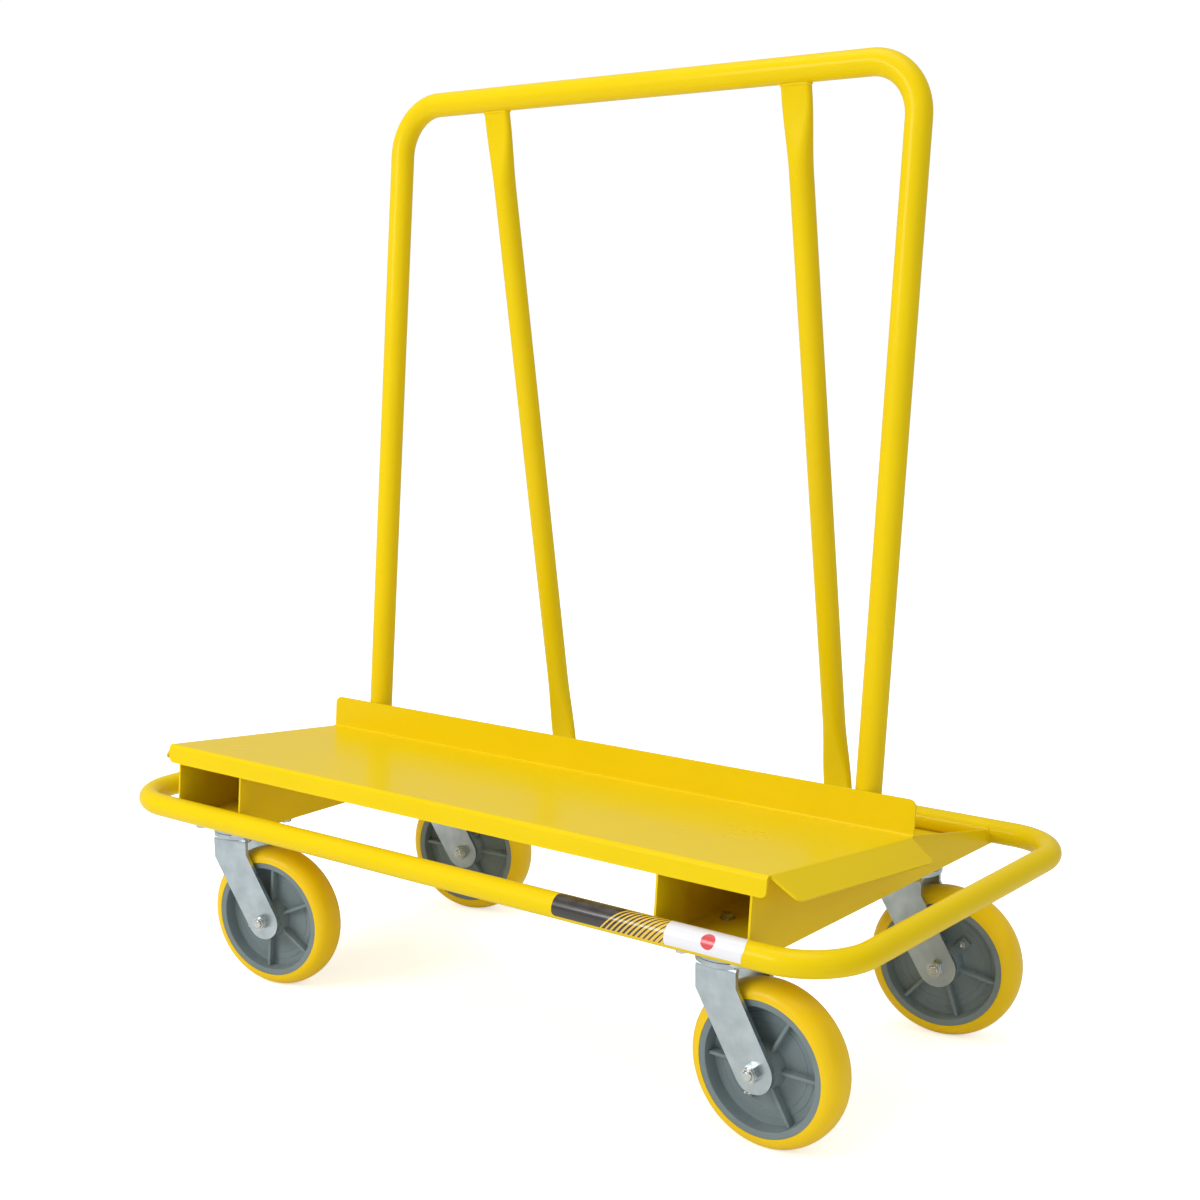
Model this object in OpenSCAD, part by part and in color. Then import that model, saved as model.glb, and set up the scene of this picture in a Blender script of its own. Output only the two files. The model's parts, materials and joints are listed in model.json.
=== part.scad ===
// Panel cart: a sloping deck with a back stop on a bent-tube base, an inverted-U push
// frame held by two braces, and four swivel casters with 8 inch wheels.
// Millimetres. Origin on the floor, under the middle of the base rail.
// +X runs along the cart, +Y to the back, +Z up.

/* [Base rail] */
// Half the length of the rail's centre line
rail_half_l = 600; // [560:5:660]
// Half the width of the rail's centre line
rail_half_w = 295; // [290:1:320]
// Outside diameter of the rail tube and the braces
rail_od = 31.75; // [28:0.05:34]
// Centre-line radius of the rail's corner bends
rail_bend_r = 80; // [60:1:110]
// Wall of every tube
tube_wall = 2; // [1.5:0.1:3]

/* [Deck] */
// Half the distance between the two end folds
deck_half_l = 509; // [500:1:530]
// Depth of the deck from the front fold to the back stop
deck_depth = 327; // [300:1:340]
// Height of the front fold above the floor
deck_front_z = 347.5; // [340:0.5:356]
// Slope of the deck and lean of the push frame, in degrees
lean = 6; // [4:0.5:8]
// Sheet thickness of the deck and the caster channels
sheet_t = 3; // [2:0.5:4]
// Height of the back stop
back_stop_h = 45.5; // [35:0.5:60]
// Depth of the front lip
front_lip_h = 26; // [20:1:32]
// Length of the sloped end lips
end_lip_l = 41.3; // [36:0.1:55]
// Angle by which the end lips are folded down
end_lip_angle = 37; // [30:1:55]

/* [Push frame] */
// Half the distance between the legs
leg_half_x = 431; // [415:1:435]
// Outside diameter of the push frame tube
leg_od = 33.7; // [31:0.1:36]
// Centre-line radius of the two top bends
leg_bend_r = 70; // [60:1:110]
// Height of the top bar's centre line
top_z = 1242; // [1000:1:1400]
// Half the distance between the braces
brace_half_x = 251; // [200:1:300]
// Width of the braces' flattened ends
brace_flat_w = 44; // [36:1:46]
// Thickness of the braces' flattened ends
brace_flat_t = 12; // [8:1:16]

/* [Caster channels] */
// Middle of each channel, from the middle of the cart
channel_x = 424; // [400:1:430]
// Outside width of a channel
channel_w = 132; // [120:1:140]

/* [Casters] */
// Height from the floor to the caster's mounting face
caster_h = 241.3; // [241.3]
// Distance of the front swivel axes from the middle
front_swivel_y = 226; // [200:1:226]
// Distance of the rear swivel axes from the middle
rear_swivel_y = 190; // [180:1:225]
// Distance from the swivel axis to the axle
trail = 54; // [44:1:58]
// Swivel angle of the front left caster at rest
swivel_front_left = 10.5; // [-180:0.5:180]
// Swivel angle of the front right caster at rest
swivel_front_right = 0; // [-180:0.5:180]
// Swivel angle of the rear left caster at rest
swivel_rear_left = 13; // [-180:0.5:180]
// Swivel angle of the rear right caster at rest
swivel_rear_right = 8; // [-180:0.5:180]

/* [Wheels] */
// Wheel diameter
wheel_d = 203.2; // [203.2]
// Width of the tread
tread_w = 50.8; // [44:0.2:54]
// Outside radius of the wheel core
core_r = 83.4; // [80:0.2:88]
// Number of rib places on each face of the core
rib_places = 6; // [6]

/* [Hidden] */
$fn = 96;

// --- base rail, deck and push frame ---
rail_r = rail_od / 2;
rail_z = caster_h + rail_r;
leg_r = leg_od / 2;
sheet_bend = 3;                       // inside radius of every fold
fold_r = sheet_bend + sheet_t;        // outside radius of every fold
deck_front_y = -284;                  // front fold
lip_corner_r = 8;
stop_corner_r = 10;
end_lip_cut = 12;                     // how far the end lip's front corner is cut back
cut_start = 2;                        // where that cut begins, from the end of the fold
end_lip_nose_r = 12;
front_relief = 7;                     // gap between the end lips and the front fold
rear_relief = 3.5;                    // gap between the end lips and the back stop
end_set_back = round(100 * fold_r * tan(end_lip_angle / 2)) / 100;   // where the end folds begin
weld_gap = 0.05;                      // daylight between two welded pieces
drain_r = 3;                          // drain hole of a closed tube
cut_reach = 50;                       // size of the blocks that trim tube ends
slice = 0.1;                          // thickness of the sections a flattened end runs between

// The push frame stands right behind the back stop and leans with it. Its run is a whole
// number of millimetres, so that the bends meet the straight tubes exactly.
leg_foot_z = caster_h + sheet_t + weld_gap;
leg_foot_y = 54.3;
leg_run = round((top_z - leg_foot_z) / cos(lean));    // along the leaning legs
leg_extra = 4;                        // length added below the level cut of the feet
bar_y = leg_foot_y + leg_run * sin(lean);
bar_z = leg_foot_z + leg_run * cos(lean);

// The braces run from the rear rail to the underside of the top bar.
brace_flare = 95;                     // length over which a flattened end turns round
brace_rise = bar_z - rail_z;
brace_run = rail_half_w - bar_y;
brace_angle = atan(brace_run / brace_rise);
brace_l = norm([brace_rise, brace_run]);

// --- caster channels ---
channel_half = channel_w / 2;
web_rear_y = rail_half_w - rail_r + 5;      // where a web's sloping edge meets the rear rail
web_rear_z = rail_z + 4;
web_drop = 80;                        // length of the web's front edge, down behind the lip

// --- caster ---
plate_t = 6.35;
plate_x = 102;
plate_y = 114;
plate_corner_r = 9;
bolt_x = 38.1;                        // half the bolt spacing along X
bolt_y = 46;                          // half the bolt spacing along Y
slot_r = 5.6;
slot_l = 16;                          // end to end
bolt_r = 4.95;                        // 3/8 inch to 10 mm bolts
bolt_hole_r = 5.4;
pin_r = 6.35;                         // half inch kingpin and axle
running_fit = 0.05;                   // radial clearance on the kingpin and in the core
plate_bottom = caster_h - plate_t;
ball_r = 3.95;
ball_ring_r = 32;
ball_count = 24;
ball_z = 226.7;
ball_seat = 0.03;                     // clearance of the balls in the fork's groove
ball_clear = 0.35;                    // and in the upper raceway, which moves past them
race_bottom = 229;                    // underside of the upper raceway
race_r = 44;
skirt_bottom = 225.6;
crown_top = 224.4;
crown_t = 6;
crown_bottom = crown_top - crown_t;
fork_gap = 62;                        // between the fork's legs
fork_t = 6;
fork_bend_r = 12;                     // outside radius of the crown's shoulders
leg_front_x = -26;                    // edges of a fork leg at the crown
leg_back_x = 30;
leg_front_kink_z = 187;
leg_back_kink_z = 197;
leg_end_r = 26;
leg_tuck = 0.05;                      // a leg's straight edges end this far inside its round end
axle_z = wheel_d / 2;
sleeve_r = 9.35;
nut_af = 19;                          // across flats of the half inch nuts
nut_h = 8;
nut_collar_r = 8.6;                   // locking collar of the axle nut
nut_collar_h = 2.6;
bolt_tail = 12;                       // how far the axle bolt's full thread passes the fork
bolt_tip = 1.5;                       // its chamfered tip
bolt_tip_in = 1.2;
bolt_af = 14.3;                       // across flats of the caster bolts
bolt_flange_r = 9.4;                  // washer under each bolt head
bolt_flange_t = 1.6;
bolt_head_h = 7.5;                    // from the channel floor, washer included
thin_nut_h = 5.5;
bolt_end = plate_t + thin_nut_h + 0.5;      // how far the bolts reach below the plate's face
seat_gap = 0.02;                      // daylight between clamped faces
pin_end_z = 202.5;                    // lower end of the kingpin
pin_nut_z = 204.5;                    // underside of its nut
pin_washer_t = 2.5;
pin_washer_r = 13;
pin_washer_gap = 0.3;                 // daylight between the crown and that washer
pin_head_r = 12;
pin_head_h = 3.9;
skirt_t = 3;                          // wall of the raceway's dust skirt

// --- wheel ---
core_face = 24.8;                     // half width of the core's rim
rim_inner_r = 75;
rim_root_r = 72.5;
web_half = 7;
hub_r = 27;
hub_tip_r = 24.5;
hub_half = 30.4;
bearing_r = 15.05;
rib_t = 5;
rib_face = 18.5;
boss_w = 13;
boss_face = 13;
boss_end_r = 47;
grease_r = 40;                        // radius at which the grease fitting sits
washer_r = 20;                        // bearing washers
washer_t = 1.5;

// --- labels, wrapped round the front of the rail ---
label_x = [223, 387.8, 388, 496];     // ends of the striped and of the plain label
label_t = 0.3;
label_low = -27;                      // edges, in degrees above level
label_high = 98;

// Each caster: name, swivel axis x and y, swivel angle, angle of the wheel's first rib.
CASTERS = [
    ["front_left", -channel_x, -front_swivel_y, swivel_front_left, 144],
    ["front_right", channel_x, -front_swivel_y, swivel_front_right, 180],
    ["rear_left", -channel_x, rear_swivel_y, swivel_rear_left, 57],
    ["rear_right", channel_x, rear_swivel_y, swivel_rear_right, -12],
];
FRAME_NODES = [
    "deck_plate", "left_caster_channel", "right_caster_channel", "base_rail", "push_frame",
    "left_brace", "right_brace", "caster_bolts", "caster_nuts", "striped_label", "plain_label",
];
CASTER_NODES = [
    "top_plate", "kingpin", "swivel_balls", "fork", "axle_bolt", "axle_nut", "axle_sleeve",
    "wheel_core", "tread", "roller_bearing", "bearing_washers", "grease_fitting",
];

paint = "gold";
zinc = "silver";

// ---------------------------------------------------------------- helpers

// Points of a round corner of radius r at b, between the straight lines from a and to c.
function corner(a, b, c, r, n = 6) =
    let (
        u = (a - b) / norm(a - b),
        v = (c - b) / norm(c - b),
        half = acos(u * v) / 2,
        centre = b + (u + v) / norm(u + v) * r / sin(half),
        p = b + u * r / tan(half),
        q = b + v * r / tan(half),
        turn = 180 - 2 * half,
        side = sign((p - centre)[0] * (q - centre)[1] - (p - centre)[1] * (q - centre)[0])
    )
    [for (i = [0:n]) let (t = side * turn * i / n, d = p - centre)
        centre + [d[0] * cos(t) - d[1] * sin(t), d[0] * sin(t) + d[1] * cos(t)]];

// Points of an arc of radius r about c, from angle a0 to a1.
function arc(c, r, a0, a1, n = 8) =
    [for (i = [0:n]) let (a = a0 + (a1 - a0) * i / n) c + r * [cos(a), sin(a)]];

// Ring sector from angle a0 to a1, less than half a turn, for folded sheet.
module sector(r_in, r_out, a0, a1) {
    mid = (a0 + a1) / 2;
    reach = 1.5 * r_out / cos((a1 - a0) / 2);
    intersection() {
        difference() {
            circle(r_out);
            circle(r_in);
        }
        polygon([
            [0, 0],
            reach * [cos(a0), sin(a0)],
            2 * reach * [cos(mid), sin(mid)],
            reach * [cos(a1), sin(a1)],
        ]);
    }
}

// Extrudes a profile drawn in Y and Z along X, centred.
module along_x(length) {
    translate([-length / 2, 0, 0]) rotate([90, 0, 90]) linear_extrude(length) children();
}

// Extrudes a profile drawn in X and Z along Y, centred.
module along_y(length) {
    translate([0, length / 2, 0]) rotate([90, 0, 0]) linear_extrude(length) children();
}

module rounded_rect(x, y, r) {
    square([x - 2 * r, y], center = true);
    square([x, y - 2 * r], center = true);
    for (sx = [-1, 1], sy = [-1, 1])
        translate([sx * (x / 2 - r), sy * (y / 2 - r)]) circle(r);
}

// Hexagon prism with its flats a distance af apart.
module hexagon(af, h) {
    cylinder(r = af / sqrt(3), h = h, $fn = 6);
}

module bar(r, length) {
    cylinder(r = r, h = length);
}

// Quarter bend of a tube in the XY plane: centre of the bend at the origin, from +X to +Y.
module tube_bend(bend_r, r) {
    rotate_extrude(angle = 90) translate([bend_r, 0]) circle(r);
}

// ---------------------------------------------------------------- welded frame

// Places its children in the deck's frame: X along the cart, Y down the slope from the
// front fold, Z square to the sheet, with Z = 0 on the sheet's upper face.
module on_deck() {
    translate([0, deck_front_y, deck_front_z]) rotate([-lean, 0, 0]) children();
}

module deck_profile() {
    // front lip and its fold
    translate([0, -front_lip_h - 1]) square([sheet_t, front_lip_h + 1 - fold_r]);
    translate([fold_r, -fold_r]) sector(sheet_bend, fold_r, 90, 180);
    // deck
    translate([fold_r, -sheet_t]) square([deck_depth - sheet_bend - fold_r, sheet_t]);
    // fold up into the back stop
    translate([deck_depth - sheet_bend, sheet_bend]) sector(sheet_bend, fold_r, -90, 0);
    translate([deck_depth, sheet_bend]) square([sheet_t, back_stop_h + 1 - sheet_bend]);
}

// Outline of the folded sheet seen from the front, with its rounded corners.
module deck_outline() {
    l = deck_half_l;
    polygon(concat(
        corner([0, -front_lip_h], [l, -front_lip_h], [l, 0], lip_corner_r),
        corner([l, 0], [l, back_stop_h], [0, back_stop_h], stop_corner_r),
        corner([0, back_stop_h], [-l, back_stop_h], [-l, 0], stop_corner_r),
        corner([-l, 0], [-l, -front_lip_h], [0, -front_lip_h], lip_corner_r)
    ));
}

// One end lip: a fold down from the end of the sheet, then a flat flange whose front corner
// is cut back. The fold and the flange are one outline, so that they meet exactly.
module end_lip() {
    flat_l = end_lip_l - end_set_back;
    y0 = front_relief;
    y1 = deck_depth - rear_relief;
    centre = [deck_half_l - end_set_back, -fold_r];
    along = [cos(end_lip_angle), -sin(end_lip_angle)];
    square_to = [sin(end_lip_angle), cos(end_lip_angle)];
    cut = corner([cut_start, y0], [flat_l, y0 + end_lip_cut], [flat_l, y1], end_lip_nose_r);
    cut_end = cut[len(cut) - 1];
    difference() {
        translate([0, (y0 + y1) / 2, 0]) along_y(y1 - y0) polygon(concat(
            arc(centre, fold_r, 90, 90 - end_lip_angle),
            [centre + fold_r * square_to + flat_l * along, centre + sheet_bend * square_to + flat_l * along],
            arc(centre, sheet_bend, 90 - end_lip_angle, 90)
        ));
        translate([centre[0], 0, centre[1]]) rotate([0, end_lip_angle, 0])
            translate([0, 0, sheet_bend - 1]) linear_extrude(sheet_t + 2) {
                polygon(concat(
                    [[0, y0 - cut_start * end_lip_cut / (flat_l - cut_start)]],
                    cut,
                    [[flat_l + 1, cut_end[1]], [flat_l + 1, y0 - 1]]
                ));
                polygon(concat(
                    corner([flat_l, y0], [flat_l, y1], [0, y1], lip_corner_r),
                    [[flat_l - lip_corner_r, y1 + 1], [flat_l + 1, y1 + 1], [flat_l + 1, y1 - lip_corner_r]]
                ));
            }
    }
}

module deck_plate() {
    color(paint) on_deck() {
        difference() {
            intersection() {
                along_x(2 * deck_half_l + 2) deck_profile();
                translate([0, deck_depth + 2 * fold_r, 0]) rotate([90, 0, 0])
                    linear_extrude(deck_depth + 4 * fold_r) deck_outline();
            }
            // the flat sheet stops where the end folds begin
            for (s = [-1, 1])
                translate([s * deck_half_l - end_set_back, front_relief, -fold_r])
                    cube([2 * end_set_back, deck_depth - front_relief - rear_relief, 2 * fold_r]);
        }
        end_lip();
        mirror([1, 0, 0]) end_lip();
    }
}

// Side view of a channel's web: under the deck, then down to the rear rail.
module channel_web() {
    under = sheet_t + weld_gap;
    function deck_point(run, drop) = [
        deck_front_y + run * cos(lean) - drop * sin(lean),
        deck_front_z - run * sin(lean) - drop * cos(lean),
    ];
    polygon([
        deck_point(sheet_t + weld_gap, fold_r),
        deck_point(fold_r, under),
        deck_point(deck_depth, under),
        [web_rear_y, web_rear_z],
        [rail_half_w, rail_z],
        [rail_half_w, caster_h],
        [-rail_half_w, caster_h],
        [-rail_half_w, rail_z],
        deck_point(sheet_t + weld_gap, web_drop),
    ]);
}

module caster_channel(x) {
    color(paint) difference() {
        union() {
            for (s = [-1, 1])
                translate([x + s * (channel_half - sheet_t / 2), 0, 0]) along_x(sheet_t) channel_web();
            translate([x - channel_half, -rail_half_w, caster_h])
                cube([channel_w, 2 * rail_half_w, sheet_t]);
        }
        // the ends are cut to the rail tubes
        for (s = [-1, 1])
            translate([x - channel_w, s * rail_half_w, rail_z]) rotate([0, 90, 0])
                bar(rail_r + weld_gap, 2 * channel_w);
        for (y = [-front_swivel_y, rear_swivel_y], sx = [-1, 1], sy = [-1, 1])
            translate([x + sx * bolt_x, y + sy * bolt_y, caster_h - 1]) bar(bolt_hole_r, sheet_t + 2);
    }
}

// Closed rounded rectangle of tube, radius r, round the base.
module rail_solid(r) {
    straight_x = rail_half_l - rail_bend_r;
    straight_y = rail_half_w - rail_bend_r;
    for (s = [-1, 1]) {
        translate([-straight_x, s * rail_half_w, 0]) rotate([0, 90, 0]) bar(r, 2 * straight_x);
        translate([s * rail_half_l, straight_y, 0]) rotate([90, 0, 0]) bar(r, 2 * straight_y);
    }
    for (q = [0:3])
        rotate([0, 0, q * 90])
            translate(q % 2 == 0 ? [straight_x, straight_y, 0] : [straight_y, straight_x, 0])
                tube_bend(rail_bend_r, r);
}

module base_rail() {
    color(paint) translate([0, 0, rail_z]) difference() {
        rail_solid(rail_r);
        rail_solid(rail_r - tube_wall);
        for (s = [-1, 1])
            translate([0, s * rail_half_w, -2 * rail_r]) bar(drain_r, 2 * rail_r);
    }
}

// Inverted U of tube in its own plane: X across, Y up from the feet.
module push_frame_solid(r, foot) {
    rise = leg_run - leg_bend_r;
    for (s = [-1, 1])
        translate([s * leg_half_x, foot, 0]) rotate([-90, 0, 0]) bar(r, rise - foot);
    translate([-(leg_half_x - leg_bend_r), leg_run, 0]) rotate([0, 90, 0])
        bar(r, 2 * (leg_half_x - leg_bend_r));
    for (m = [0, 1])
        mirror([m, 0, 0]) translate([leg_half_x - leg_bend_r, rise, 0]) tube_bend(leg_bend_r, r);
}

module push_frame() {
    color(paint) difference() {
        translate([0, leg_foot_y, leg_foot_z]) rotate([90 - lean, 0, 0]) difference() {
            push_frame_solid(leg_r, -leg_extra);
            push_frame_solid(leg_r - tube_wall, -leg_extra - 1);
        }
        // the feet are cut level, on the floors of the caster channels
        translate([-2 * leg_half_x, leg_foot_y - cut_reach, leg_foot_z - cut_reach])
            cube([4 * leg_half_x, 2 * cut_reach, cut_reach]);
    }
}

// Flat end of a brace: a stadium section, h thick.
module brace_stadium(h) {
    linear_extrude(h) {
        square([brace_flat_w - brace_flat_t, brace_flat_t], center = true);
        for (s = [-1, 1])
            translate([s * (brace_flat_w - brace_flat_t) / 2, 0]) circle(brace_flat_t / 2, $fn = 32);
    }
}

// A brace stands on the rear rail and leans forward to the top bar.
module brace(side) {
    color(paint) difference() {
        translate([side * brace_half_x, rail_half_w, rail_z]) rotate([brace_angle, 0, 0])
            difference() {
                union() {
                    brace_stadium(rail_od);
                    hull() {
                        translate([0, 0, rail_od]) brace_stadium(slice);
                        translate([0, 0, rail_od + brace_flare]) cylinder(r = rail_r, h = slice, $fn = 32);
                    }
                    translate([0, 0, rail_od + brace_flare])
                        bar(rail_r, brace_l - 2 * (rail_od + brace_flare));
                    hull() {
                        translate([0, 0, brace_l - rail_od]) brace_stadium(slice);
                        translate([0, 0, brace_l - rail_od - brace_flare])
                            cylinder(r = rail_r, h = slice, $fn = 32);
                    }
                    translate([0, 0, brace_l - rail_od]) brace_stadium(rail_od);
                }
                translate([0, 0, rail_od + brace_flare])
                    bar(rail_r - tube_wall, brace_l - 2 * (rail_od + brace_flare));
                // vent hole, on the back, low down
                translate([0, 0, rail_od + brace_flare + 20]) rotate([-90, 0, 0]) bar(drain_r, 2 * rail_r);
            }
        translate([0, rail_half_w, rail_z]) rotate([0, 90, 0])
            translate([0, 0, side * brace_half_x - cut_reach]) bar(rail_r + weld_gap, 2 * cut_reach);
        translate([side * brace_half_x - cut_reach, bar_y, bar_z]) rotate([0, 90, 0])
            bar(leg_r + weld_gap, 2 * cut_reach);
    }
}

// A label is a thin strip that wraps the front of the rail.
module rail_label(x0, x1) {
    translate([(x0 + x1) / 2, -rail_half_w, rail_z]) along_x(x1 - x0)
        sector(rail_r + seat_gap, rail_r + label_t, 180 - label_high, 180 - label_low);
}

module striped_label() {
    color("black") rail_label(label_x[0], label_x[1]);
}

module plain_label() {
    color("white") rail_label(label_x[2], label_x[3]);
}

// ---------------------------------------------------------------- caster fasteners

// Repeats its children at every caster bolt, at the caster's mounting face.
module at_caster_bolts() {
    for (c = CASTERS, sx = [-1, 1], sy = [-1, 1])
        translate([c[1] + sx * bolt_x, c[2] + sy * bolt_y, caster_h]) children();
}

module caster_bolts() {
    color(zinc) at_caster_bolts() {
        translate([0, 0, sheet_t + seat_gap]) {
            cylinder(r = bolt_flange_r, h = bolt_flange_t);
            hexagon(bolt_af, bolt_head_h);
        }
        translate([0, 0, -bolt_end]) bar(bolt_r, bolt_end + sheet_t + bolt_flange_t);
    }
}

module caster_nuts() {
    color(zinc) at_caster_bolts()
        translate([0, 0, -plate_t - thin_nut_h]) difference() {
            hexagon(bolt_af, thin_nut_h - seat_gap);
            translate([0, 0, -1]) bar(bolt_r + seat_gap, thin_nut_h + 2);
        }
}

// ---------------------------------------------------------------- caster

// Places a caster's fixed pieces at its swivel axis, square with the cart.
module at_plate(c) {
    translate([c[1], c[2], 0]) children();
}

// Places a caster's swivelling pieces: the wheel trails towards +X, turned by the swivel angle.
module at_fork(c) {
    translate([c[1], c[2], 0]) rotate([0, 0, c[3]]) children();
}

// Places the wheel's pieces: axle along Z here, first rib along X.
module at_axle(c) {
    at_fork(c) translate([trail, 0, axle_z]) rotate([90, 0, 0]) rotate([0, 0, c[4]]) children();
}

module top_plate() {
    color(zinc) difference() {
        union() {
            translate([0, 0, plate_bottom]) linear_extrude(plate_t)
                rounded_rect(plate_x, plate_y, plate_corner_r);
            // upper raceway with its dust skirt
            translate([0, 0, race_bottom]) cylinder(r = race_r, h = plate_bottom - race_bottom);
            translate([0, 0, skirt_bottom]) difference() {
                cylinder(r = race_r, h = race_bottom - skirt_bottom);
                translate([0, 0, -1]) cylinder(r = race_r - skirt_t, h = race_bottom - skirt_bottom + 2);
            }
        }
        translate([0, 0, ball_z]) rotate_extrude() translate([ball_ring_r, 0]) circle(ball_r + ball_clear);
        translate([0, 0, race_bottom - 1]) bar(pin_r + seat_gap, caster_h - race_bottom + 2);
        // the kingpin's head is sunk into the plate
        translate([0, 0, caster_h - pin_head_h - 0.2]) cylinder(r = pin_head_r + 0.1, h = pin_head_h + 1);
        for (sx = [-1, 1], sy = [-1, 1])
            translate([sx * bolt_x, sy * bolt_y, plate_bottom - 1]) {
                for (e = [-1, 1]) translate([e * (slot_l / 2 - slot_r), 0, 0]) bar(slot_r, plate_t + 2);
                translate([-(slot_l / 2 - slot_r), -slot_r, 0])
                    cube([slot_l - 2 * slot_r, 2 * slot_r, plate_t + 2]);
            }
    }
}

module kingpin() {
    washer_z = crown_bottom - pin_washer_gap - pin_washer_t;
    color(zinc) {
        translate([0, 0, caster_h - pin_head_h - 0.1]) cylinder(r = pin_head_r, h = pin_head_h);
        translate([0, 0, pin_end_z]) bar(pin_r, caster_h - pin_head_h - 0.1 - pin_end_z);
        translate([0, 0, washer_z]) difference() {
            cylinder(r = pin_washer_r, h = pin_washer_t);
            translate([0, 0, -1]) bar(pin_r + seat_gap, pin_washer_t + 2);
        }
        translate([0, 0, pin_nut_z]) difference() {
            hexagon(nut_af, washer_z - seat_gap - pin_nut_z);
            translate([0, 0, -1]) bar(pin_r + seat_gap, washer_z - pin_nut_z + 2);
        }
    }
}

module swivel_balls() {
    color(zinc) for (i = [0:ball_count - 1])
        rotate([0, 0, i * 360 / ball_count]) translate([ball_ring_r, 0, ball_z]) sphere(ball_r, $fn = 32);
}

// Points where a line from p touches the circle of radius r at c; side picks left or right.
function touch(p, c, r, side) =
    let (d = norm(p - c), a = acos(r / d), b = atan2((p - c)[1], (p - c)[0]))
    c + r * [cos(b + side * a), sin(b + side * a)];

// Outline of a fork leg, in X and Z.
module fork_leg_outline(top) {
    axle = [trail, axle_z];
    front = touch([leg_front_x, leg_front_kink_z], axle, leg_end_r - leg_tuck, 1);
    back = touch([leg_back_x, leg_back_kink_z], axle, leg_end_r - leg_tuck, -1);
    polygon([
        [leg_front_x, top], [leg_front_x, leg_front_kink_z], front, axle, back,
        [leg_back_x, leg_back_kink_z], [leg_back_x, top],
    ]);
    translate(axle) circle(leg_end_r);
}

module fork() {
    half_out = fork_gap / 2 + fork_t;
    leg_w = leg_back_x - leg_front_x;
    mid_x = (leg_back_x + leg_front_x) / 2;
    color(zinc) difference() {
        union() {
            // crown: a round raceway with a wing to each shoulder
            translate([0, 0, crown_bottom]) cylinder(r = race_r - 1, h = crown_t);
            translate([leg_front_x, -(half_out - fork_bend_r), crown_bottom])
                cube([leg_w, 2 * (half_out - fork_bend_r), crown_t]);
            for (m = [0, 1]) mirror([0, m, 0]) {
                // shoulder
                translate([mid_x, half_out - fork_bend_r, crown_top - fork_bend_r]) along_x(leg_w)
                    sector(fork_bend_r - fork_t, fork_bend_r, 0, 90);
                translate([0, half_out - fork_t / 2, 0]) along_y(fork_t)
                    fork_leg_outline(crown_top - fork_bend_r);
            }
        }
        translate([0, 0, crown_bottom - 1]) bar(pin_r + running_fit, crown_t + 2);
        translate([0, 0, ball_z]) rotate_extrude() translate([ball_ring_r, 0]) circle(ball_r + ball_seat);
        translate([trail, half_out + 1, axle_z]) rotate([90, 0, 0]) bar(pin_r + seat_gap, 2 * half_out + 2);
    }
}

module axle_bolt() {
    half_out = fork_gap / 2 + fork_t;
    color(zinc) {
        // head on the far leg, threaded end through the near one
        translate([0, 0, -half_out - nut_h]) hexagon(nut_af, nut_h - seat_gap);
        translate([0, 0, -half_out - 1]) bar(pin_r, 2 * half_out + bolt_tail + 1);
        translate([0, 0, half_out + bolt_tail]) cylinder(r1 = pin_r, r2 = pin_r - bolt_tip_in, h = bolt_tip);
    }
}

module axle_nut() {
    half_out = fork_gap / 2 + fork_t;
    color(zinc) translate([0, 0, half_out + seat_gap]) difference() {
        union() {
            hexagon(nut_af, nut_h);
            translate([0, 0, nut_h]) cylinder(r = nut_collar_r, h = nut_collar_h);
        }
        translate([0, 0, -1]) bar(pin_r + seat_gap, 2 * nut_h);
    }
}

module axle_sleeve() {
    color(zinc) translate([0, 0, -fork_gap / 2 + seat_gap]) difference() {
        bar(sleeve_r, fork_gap - 2 * seat_gap);
        translate([0, 0, -1]) bar(pin_r + seat_gap, fork_gap + 2);
    }
}

// ---------------------------------------------------------------- wheel

module wheel_core() {
    color("slategray") {
        difference() {
            rotate_extrude() polygon([
                [bearing_r, -hub_half], [hub_tip_r, -hub_half], [hub_r, -web_half], [rim_root_r, -web_half],
                [rim_inner_r, -core_face], [core_r, -core_face],
                [core_r, core_face], [rim_inner_r, core_face], [rim_root_r, web_half], [hub_r, web_half],
                [hub_tip_r, hub_half], [bearing_r, hub_half],
            ]);
            // seats of the two bearing washers
            for (s = [-1, 1])
                translate([0, 0, s > 0 ? hub_half - washer_t : -hub_half - 1])
                    bar(washer_r + running_fit, washer_t + 1);
        }
        // ribs on both faces; one place on the near face holds the grease fitting's boss
        for (i = [0:rib_places - 1], s = [-1, 1])
            if (!(i == 1 && s == 1)) rotate([0, 0, i * 360 / rib_places])
                translate([hub_tip_r + 1, -rib_t / 2, s > 0 ? web_half - 1 : -rib_face])
                    cube([rim_root_r - hub_tip_r, rib_t, rib_face - web_half + 1]);
        rotate([0, 0, 360 / rib_places]) translate([hub_tip_r + 1, -boss_w / 2, web_half - 1])
            cube([boss_end_r - hub_tip_r - 1, boss_w, boss_face - web_half + 1]);
    }
}

// Half outline of the tread at fraction v of its half width: full radius at v = 0.
function tread_r(v) = core_r + (wheel_d / 2 - core_r) * pow(1 - pow(abs(v), 2.4), 0.5);

module tread() {
    steps = 14;
    half = tread_w / 2;
    // finer steps towards the shoulders, where the outline turns fastest
    function place(i) = sin(90 * i / steps);
    color("goldenrod") rotate_extrude() polygon(concat(
        [[core_r, half], [core_r, -half]],
        [for (i = [-steps + 1:steps - 1]) [tread_r(place(i)), half * place(i)]]
    ));
}

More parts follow.
